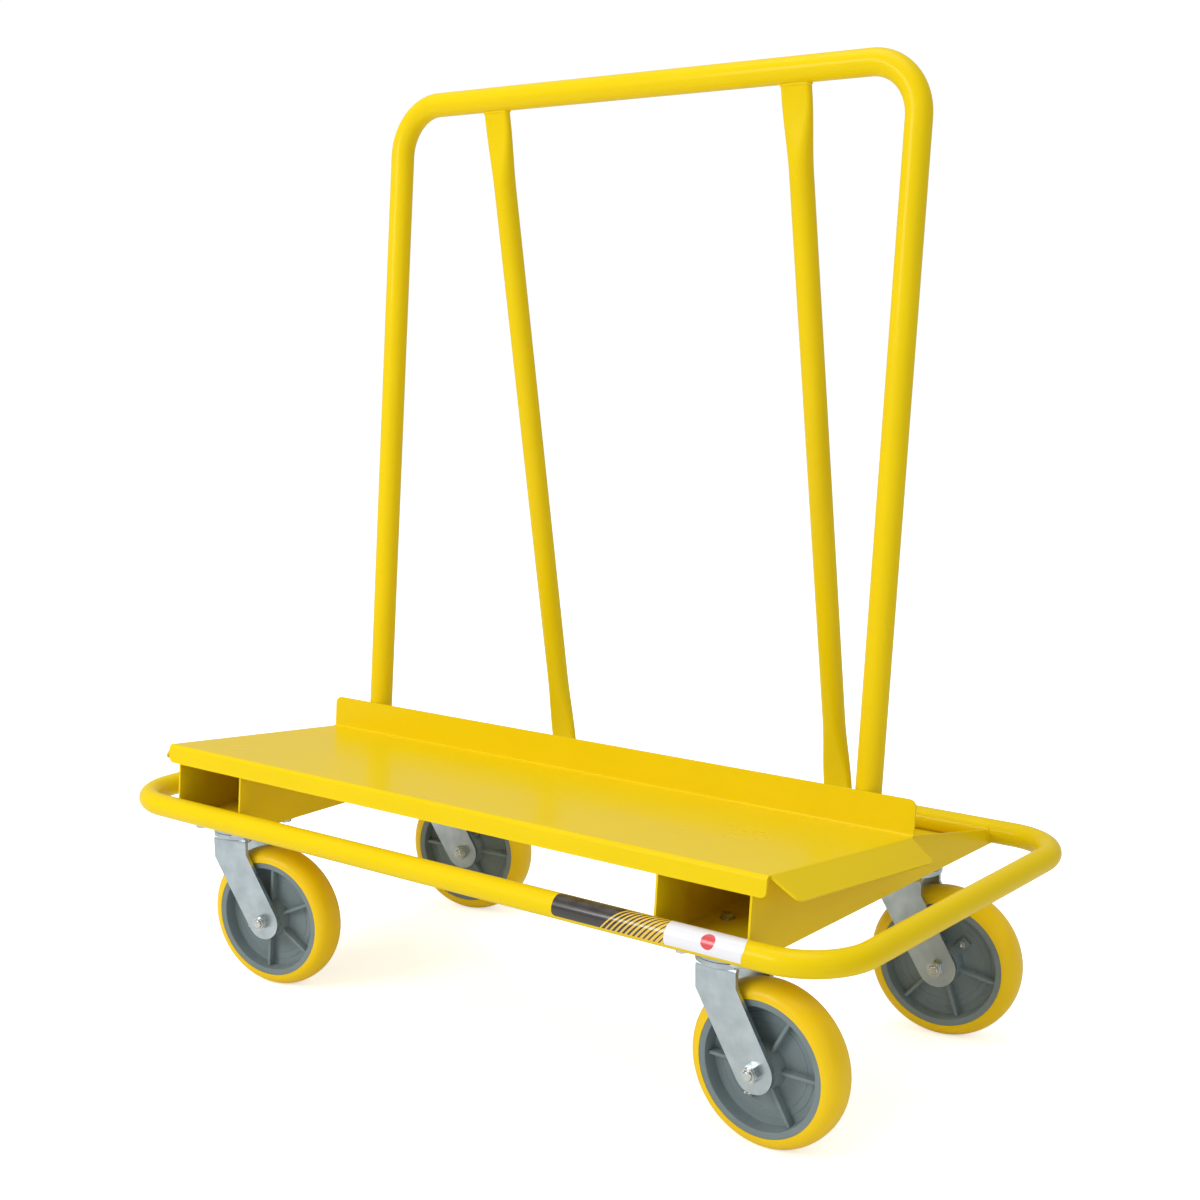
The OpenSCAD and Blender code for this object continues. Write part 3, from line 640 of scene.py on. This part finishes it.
def build_brace(side, name):
    """A tube with both ends pressed flat and coped to the rail and to the top bar."""
    foot = Vector((side * BRACE_X, RAIL_Y, RAIL_Z))

    def place(across, back, along):
        return foot + Vector((across, 0, 0)) + BRACE_BACK * back + BRACE_UP * along

    flat = brace_section(0.0)
    shares = [i / FLARE_STEPS for i in range(FLARE_STEPS + 1)]
    rings = [[place(x, y, math.sqrt((RAIL_R + WELD_GAP) ** 2 - y * y)) for x, y in flat]]
    for share in shares:
        along = BRACE_END + BRACE_FLARE * share
        rings.append([place(x, y, along) for x, y in brace_section(share)])
    for share in reversed(shares):
        along = BRACE_L - BRACE_END - BRACE_FLARE * share
        rings.append([place(x, y, along) for x, y in brace_section(share)])
    rings.append([place(x, y, BRACE_L - math.sqrt((LEG_R + WELD_GAP) ** 2 - y * y)) for x, y in flat])
    bm = bmesh.new()
    skin_rings(bm, rings)
    bmesh.ops.remove_doubles(bm, verts=bm.verts, dist=0.001 * MM)
    vent = place(0, RAIL_R, BRACE_END + BRACE_FLARE + VENT_FROM_FLARE)
    bm = drill(bm, [(vent, BRACE_BACK)])
    piece = add_piece(name + "_tube", bm, MATERIALS["yellow_paint"], "frame")
    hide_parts(name)


build_rail()
build_push_frame()
build_brace(-1, "left_brace")
build_brace(1, "right_brace")

# ---------------------------------------------------------------- wheels


def tread_mesh():
    steps = 20
    outline = [(CORE_R, TREAD_HALF), (CORE_R, -TREAD_HALF)]
    for i in range(-steps + 1, steps):
        share = math.sin(math.pi / 2 * i / steps)
        radius = CORE_R + (WHEEL_R - CORE_R) * math.sqrt(1 - abs(share) ** 2.4)
        outline.append((radius, TREAD_HALF * share))
    bm = bmesh.new()
    lathe(bm, outline)
    return make_mesh("tread", bm, MATERIALS["yellow_tread"])


def core_outline():
    """Half section of the core on the +Z side: bore, hub, web with two raised rings, rim."""
    half = [(HUB_BORE_R, HUB_HALF - HUB_BORE_DEPTH), (HUB_BORE_R, HUB_HALF)]
    half += [(HUB_R - 1.0 * MM, HUB_HALF), (HUB_R - 0.3 * MM, HUB_HALF - 0.3 * MM)]
    half += [(HUB_R, HUB_HALF - 1.0 * MM), (WEB_START_R - 2.8 * MM, WEB_HALF + 3 * MM)]
    half += [(WEB_START_R - 2.0 * MM, WEB_HALF + 1.0 * MM), (WEB_START_R, WEB_HALF)]
    for ring in WEB_RINGS:
        half += [(ring, WEB_HALF), (ring + 0.5 * MM, WEB_HALF + 0.5 * MM)]
        half += [(ring + 1.3 * MM, WEB_HALF + 0.5 * MM), (ring + 1.8 * MM, WEB_HALF)]
    half += [(WEB_END_R, WEB_HALF), (WEB_END_R + 2.0 * MM, WEB_HALF + 0.8 * MM)]
    half += [(WEB_END_R + 2.9 * MM, WEB_HALF + 2.6 * MM), (RIM_R - 1.5 * MM, CORE_FACE - 1.4 * MM)]
    half += [(RIM_R - 1.0 * MM, CORE_FACE - 0.4 * MM), (RIM_R, CORE_FACE)]
    half += [(CORE_R - 0.3 * MM, CORE_FACE), (CORE_R - 0.01 * MM, CORE_FACE - 0.3 * MM)]
    return half


def add_block(bm, start, end, width, low, high, draft, turn):
    """A moulded block along the radius, narrower at its top and with softened top edges."""
    soft = 0.9 * MM
    base = width / 2 + draft
    top = width / 2
    rise = [(-base, low), (-top - 0.1 * MM, high - soft), (-top + 0.25 * soft, high - 0.3 * soft)]
    rise += [(-top + soft, high), (top - soft, high)]
    rise += [(top - 0.25 * soft, high - 0.3 * soft), (top + 0.1 * MM, high - soft), (base, low)]
    spin = Matrix.Rotation(turn, 4, "Z")
    rings = [[spin @ Vector((x, y, z)) for y, z in rise] for x in (start, end)]
    skin_rings(bm, rings)


def core_mesh(first_rib):
    """One wheel's core, its first rib at an angle from the piece's own X; a boss takes one rib's place."""
    upper = core_outline()
    lower = [(radius, -z) for radius, z in upper]
    bore = [(BEARING_R, side * (HUB_HALF - HUB_BORE_DEPTH)) for side in (-1, 1)]
    bm = bmesh.new()
    lathe(bm, bore + upper + list(reversed(lower)))
    for i in range(6):
        turn = math.radians(first_rib + 60 * i)
        for face in (1, -1):
            if face == 1 and i == 1:
                continue
            add_rib(bm, face, turn)
    boss_turn = math.radians(first_rib + 60)
    add_block(bm, BOSS_START, BOSS_END, BOSS_W, BLOCK_LOW, BOSS_FACE, 0.4 * MM, boss_turn)
    return make_mesh("wheel_core", bm, MATERIALS["grey_core"])


def add_rib(bm, face, turn):
    """A rib on the web's front, face 1, or mirrored to its back, face -1."""
    if face == 1:
        add_block(bm, RIB_START, RIB_END, RIB_W, BLOCK_LOW, RIB_FACE, 0.5 * MM, turn)
        return
    part = bmesh.new()
    add_block(part, RIB_START, RIB_END, RIB_W, BLOCK_LOW, RIB_FACE, 0.5 * MM, turn)
    for vert in part.verts:
        vert.co.z = -vert.co.z
    flipped = bpy.data.meshes.new("rib")
    part.to_mesh(flipped)
    part.free()
    bm.from_mesh(flipped)
    bpy.data.meshes.remove(flipped)


def wheel_matrix(caster):
    """The wheel's own frame: Z along the axle towards the front, Y up."""
    joint = JOINTS[caster + "_wheel_spin"]
    axle = Vector(joint["axis"]).normalized()
    forward = axle.cross(Vector((0, 0, 1)))
    turn = Matrix((forward, Vector((0, 0, 1)), -axle)).transposed().to_4x4()
    return Matrix.Translation(joint["pos_m"]) @ turn


TREAD_MESH = tread_mesh()
for caster_name in CASTERS:
    core = core_mesh(RIB_ANGLES[caster_name])
    matrix = wheel_matrix(caster_name)
    for part_name, mesh in (("tread", TREAD_MESH), ("wheel_core", core)):
        node_name = caster_name + "_" + part_name
        wheel_body = caster_name + "_wheel_body"
        fine = place_piece(node_name + "_fine", mesh, wheel_body, matrix)
        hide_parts(node_name)

# ---------------------------------------------------------------- labels


def build_label(name, corner, point):
    """A thin strip round the rail's front, with round left corners or a shallow right point."""
    low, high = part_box(name)
    middle = sum(LABEL_ANGLES) / 2
    reach = (LABEL_ANGLES[1] - LABEL_ANGLES[0]) / 2
    length = high.x - low.x
    stations = [corner * (1 - math.cos(math.pi / 2 * i / 8)) for i in range(9)] if corner else [0.0]
    stations += [length - point * (1 - i / 6) for i in range(7)] if point else [length]
    bm = bmesh.new()
    rings = []
    for x in stations:
        inset = 0.0
        if corner and x < corner:
            inset = corner - math.sqrt(max(corner ** 2 - (corner - x) ** 2, 0.0))
        half = reach - math.degrees(inset / RAIL_R)
        if point and x > length - point:
            half *= max((length - x) / point, 0.01)
        arc = [math.radians(middle + half * k / 16) for k in range(-16, 17)]
        outer = [(angle, RAIL_R + LABEL_SKIN) for angle in arc]
        inner = [(angle, RAIL_R + 0.02 * MM) for angle in reversed(arc)]
        rings.append([
            Vector((low.x + x, -RAIL_Y - radius * math.cos(angle), RAIL_Z + radius * math.sin(angle)))
            for angle, radius in outer + inner
        ])
    skin_rings(bm, rings)
    piece = add_piece(name + "_strip", bm, MATERIALS[name], "frame")
    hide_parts(name)


build_label("striped_label", 5 * MM, 0.0)
build_label("plain_label", 0.0, 4 * MM)

# ---------------------------------------------------------------- weld beads


BEAD_SIDES = 10
RIPPLE = 2.2 * MM                       # from one ripple of a bead to the next
LEG_BEAD_STEPS = 110
BRACE_BEAD_STEP = 0.8 * MM
CHANNEL_BEAD_STEPS = 27
CHANNEL_BEAD_ANGLES = (-72, 38)         # ends of a channel's bead round the rail, in degrees above level


def weld_bead(name, path, outward, size, closed=False):
    """A rippled bead along points, flattened square to the direction outward gives at each."""
    bm = bmesh.new()
    rings = []
    travelled = 0.0
    for i, point in enumerate(path):
        after = path[(i + 1) % len(path)] if closed or i + 1 < len(path) else point
        before = path[i - 1] if closed or i > 0 else point
        along = (after - before).normalized()
        if i > 0:
            travelled += (point - path[i - 1]).length
        lift = outward(point)
        across = along.cross(lift).normalized()
        ripple = 1.0 + 0.13 * math.sin(2 * math.pi * travelled / RIPPLE)
        taper = 1.0 if closed else min(1.0, 0.35 + min(i, len(path) - 1 - i) / 4)
        rings.append([
            point + size * ripple * taper * (math.cos(t) * across + 0.7 * math.sin(t) * lift)
            for t in turns(BEAD_SIDES)
        ])
    skin_rings(bm, rings, closed=closed)
    add_piece(name, bm, MATERIALS["yellow_paint"], "frame")


def leg_weld(side, name):
    """A ring where a leg stands on its channel's floor."""
    foot = Vector((side * LEG_X, FOOT_Y, FOOT_Z))
    ring = []
    for turn in turns(LEG_BEAD_STEPS):
        across = LEG_R * math.cos(turn)
        back = LEG_R / math.cos(LEAN) * math.sin(turn)
        ring.append(foot + Vector((across, back, 1.2 * MM)))
    weld_bead(name, ring, lambda p: (p - foot).normalized(), 2.4 * MM, closed=True)


def brace_weld(side, name, foot_end):
    """A ring where a brace's flat end meets the rail or the top bar."""
    origin = Vector((side * BRACE_X, RAIL_Y, RAIL_Z))
    round_r = (RAIL_R if foot_end else LEG_R) + 0.6 * MM
    flat = brace_section(0.0, 12)
    fine = []
    for i, (x, y) in enumerate(flat):
        after_x, after_y = flat[(i + 1) % len(flat)]
        steps = max(1, round(math.hypot(after_x - x, after_y - y) / BRACE_BEAD_STEP))
        for k in range(steps):
            fine.append((x + (after_x - x) * k / steps, y + (after_y - y) * k / steps))
    ring = []
    for x, y in fine:
        along = math.sqrt(round_r ** 2 - y * y)
        if not foot_end:
            along = BRACE_L - along
        ring.append(origin + Vector((x, 0, 0)) + BRACE_BACK * y + BRACE_UP * along)
    axis_point = origin + BRACE_UP * (round_r if foot_end else BRACE_L - round_r)
    weld_bead(name, ring, lambda p: (p - axis_point).normalized(), 2.2 * MM, closed=True)


def channel_welds():
    """Beads where each channel's webs end on the front and rear rails."""
    inward = RAIL_R + 0.3 * MM
    start, end = CHANNEL_BEAD_ANGLES
    for channel in ("left", "right"):
        low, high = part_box(channel + "_caster_channel")
        for web, x, sheet in (("outer", low.x, 1), ("inner", high.x, -1)):
            for rail, side in (("front", -1), ("rear", 1)):
                bead = []
                for i in range(CHANNEL_BEAD_STEPS + 1):
                    turn = math.radians(start + (end - start) * i / CHANNEL_BEAD_STEPS)
                    bead.append(Vector((
                        x - sheet * 0.2 * MM,
                        side * (RAIL_Y - inward * math.cos(turn)),
                        RAIL_Z + inward * math.sin(turn),
                    )))
                centre = Vector((x, side * RAIL_Y, RAIL_Z))
                name = "_".join(("weld", channel, web, rail))
                weld_bead(name, bead, lambda p, c=centre: (p - c).normalized(), 2.0 * MM)


leg_weld(-1, "weld_left_leg")
leg_weld(1, "weld_right_leg")
for brace_side, side_name in ((-1, "left"), (1, "right")):
    brace_weld(brace_side, "weld_" + side_name + "_brace_foot", True)
    brace_weld(brace_side, "weld_" + side_name + "_brace_top", False)
channel_welds()

# ---------------------------------------------------------------- floor, light and camera


def white_floor():
    bm = bmesh.new()
    bmesh.ops.create_grid(bm, x_segments=1, y_segments=1, size=30.0)
    mesh = bpy.data.meshes.new("floor")
    bm.to_mesh(mesh)
    bm.free()
    floor = bpy.data.objects.new("floor", mesh)
    material = bpy.data.materials.new("pale_floor")
    material.use_nodes = True
    shader = material.node_tree.nodes["Principled BSDF"].inputs
    shader["Base Color"].default_value = (0.94, 0.94, 0.94, 1)
    shader["Roughness"].default_value = 0.6
    shader["Specular IOR Level"].default_value = 0.1
    shader["Emission Color"].default_value = (1, 1, 1, 1)
    seen = add_node(material.node_tree, "ShaderNodeLightPath").outputs["Is Camera Ray"]
    lift = math_node(material.node_tree, "MULTIPLY", seen, 0.60)
    material.node_tree.links.new(lift, shader["Emission Strength"])
    mesh.materials.append(material)
    bpy.context.scene.collection.objects.link(floor)


def softbox(name, place, target, size, power):
    light = bpy.data.lights.new(name, "AREA")
    light.shape = "RECTANGLE"
    light.size, light.size_y = size
    light.energy = power
    lamp = bpy.data.objects.new(name, light)
    lamp.location = place
    lamp.rotation_mode = "QUATERNION"
    lamp.rotation_quaternion = (Vector(target) - Vector(place)).to_track_quat("-Z", "Y")
    bpy.context.scene.collection.objects.link(lamp)


def studio():
    world = bpy.data.worlds.new("studio")
    bpy.context.scene.world = world
    world.use_nodes = True
    background = world.node_tree.nodes["Background"].inputs
    background[0].default_value = (1.0, 1.0, 1.0, 1)
    seen = add_node(world.node_tree, "ShaderNodeLightPath").outputs["Is Camera Ray"]
    strength = math_node(world.node_tree, "MULTIPLY_ADD", seen, 0.52, 0.50)
    world.node_tree.links.new(strength, background[1])
    middle = (0.0, 0.0, 0.5)
    softbox("overhead", (-0.2, -0.4, 5.0), middle, (4.0, 3.0), 100)
    softbox("front_left_key", (-1.5, -3.6, 2.3), middle, (1.8, 1.4), 74)
    softbox("right_strip", (2.3, -1.1, 1.3), middle, (0.03, 2.4), 4)
    softbox("front_strip", (0.4, -3.0, 1.3), middle, (0.03, 2.4), 4)
    bpy.context.scene.view_settings.view_transform = "Standard"


def place_camera():
    """A camera in front and to the right, looking a little down."""
    yaw, pitch, roll = math.radians(39.65), math.radians(12.13), math.radians(-0.85)
    forward = Vector((-math.sin(yaw) * math.cos(pitch), math.cos(yaw) * math.cos(pitch), -math.sin(pitch)))
    right = Vector((math.cos(yaw), math.sin(yaw), 0))
    up = right.cross(forward)
    turned_right = math.cos(roll) * right + math.sin(roll) * up
    turned_up = math.cos(roll) * up - math.sin(roll) * right
    data = bpy.data.cameras.new("camera")
    data.sensor_width = 36
    data.lens = 55.74
    data.shift_x = 0.0323
    data.shift_y = 0.0731
    camera = bpy.data.objects.new("camera", data)
    turn = Matrix((turned_right, turned_up, -forward)).transposed()
    camera.matrix_world = Matrix.Translation((1.57513, -1.91762, 0.97757)) @ turn.to_4x4()
    bpy.context.scene.collection.objects.link(camera)
    bpy.context.scene.camera = camera


white_floor()
studio()
place_camera()
